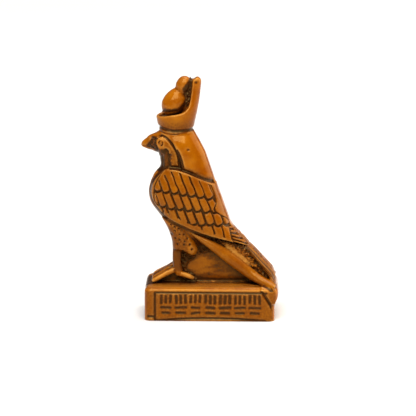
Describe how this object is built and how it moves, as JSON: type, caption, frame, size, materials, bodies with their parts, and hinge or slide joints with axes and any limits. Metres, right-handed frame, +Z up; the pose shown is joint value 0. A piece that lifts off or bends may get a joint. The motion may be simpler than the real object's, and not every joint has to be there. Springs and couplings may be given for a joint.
{
  "type": "horus falcon figure",
  "caption": "Small cast standing falcon with a tall crown on a rectangular plinth, made as one solid piece.",
  "frame": {"origin": "middle of the underside of the plinth", "axes": "+Z up, -Y the way the falcon faces, +X the falcon's left side"},
  "size_m": [0.0124, 0.0228, 0.0401],
  "materials": {
    "amber_resin": "varnished cast resin in honey amber with a dark wash left in the recesses"
  },
  "bodies": {
    "root": {"falcon_figure": "amber_resin"}
  },
  "joints": []
}
